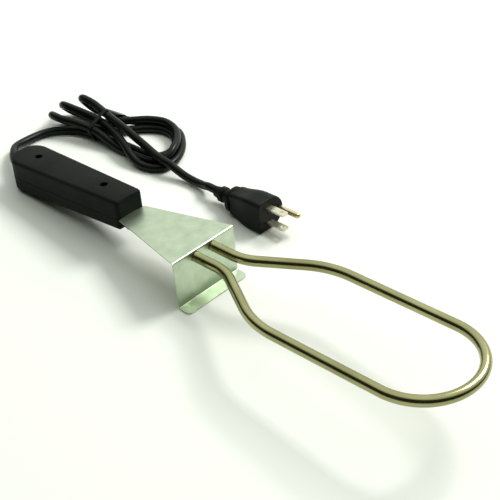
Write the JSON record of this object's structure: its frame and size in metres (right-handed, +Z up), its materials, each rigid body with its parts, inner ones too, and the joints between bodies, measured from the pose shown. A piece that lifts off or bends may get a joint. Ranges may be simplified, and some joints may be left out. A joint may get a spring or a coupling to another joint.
{
  "type": "electric hot-loop tool",
  "caption": "Mains-powered heating loop on a bent sheet shield with a foot, a two-part moulded handle and a cord tied in a hank with a three-pin plug.",
  "frame": {"origin": "centre of the tool's bounding box in plan, on the surface it rests on, without the cord", "axes": "+X from the handle to the loop's tip, +Y to the tool's left, +Z up"},
  "size_m": [0.4748, 0.174, 0.0554],
  "materials": {
    "handle_plastic": "black moulded phenolic, satin",
    "galvanised_sheet": "galvanised sheet, faint mottling",
    "nickel_steel": "nickel-steel sheath with an olive tint",
    "packed_oxide": "compacted white powder",
    "zinc_steel": "zinc-plated steel",
    "silicone_seal": "red-brown silicone",
    "tinned_brass": "nickel-plated brass",
    "cord_jacket": "black flexible jacket, satin",
    "black_wire": "black insulation",
    "white_wire": "white insulation",
    "green_wire": "green insulation",
    "plug_plastic": "black moulded vinyl"
  },
  "bodies": {
    "root": {"handle_top_shell": "handle_plastic", "handle_bottom_shell": "handle_plastic", "heat_shield": "galvanised_sheet", "element_clamp": "galvanised_sheet", "heating_element": "nickel_steel", "element_core": "packed_oxide", "handle_screw_front": "zinc_steel", "handle_screw_rear": "zinc_steel", "handle_nut_front": "zinc_steel", "handle_nut_rear": "zinc_steel", "earth_screw": "zinc_steel", "earth_nut": "zinc_steel", "end_seal_left": "silicone_seal", "end_seal_right": "silicone_seal", "terminal_pin_left": "tinned_brass", "terminal_pin_right": "tinned_brass", "crimp_left": "tinned_brass", "crimp_right": "tinned_brass", "earth_ring": "tinned_brass", "plug_blade_upper": "tinned_brass", "plug_blade_lower": "tinned_brass", "plug_ground_pin": "tinned_brass", "cord_bushing": "cord_jacket", "cord_inner_end": "cord_jacket", "cord_boot": "cord_jacket", "cord_tail": "cord_jacket", "cord_hank": "cord_jacket", "cord_tie": "cord_jacket", "cord_lead": "cord_jacket", "wire_live": "black_wire", "wire_neutral": "white_wire", "wire_earth": "green_wire", "plug_body": "plug_plastic", "plug_strain_relief": "plug_plastic"}
  },
  "joints": []
}
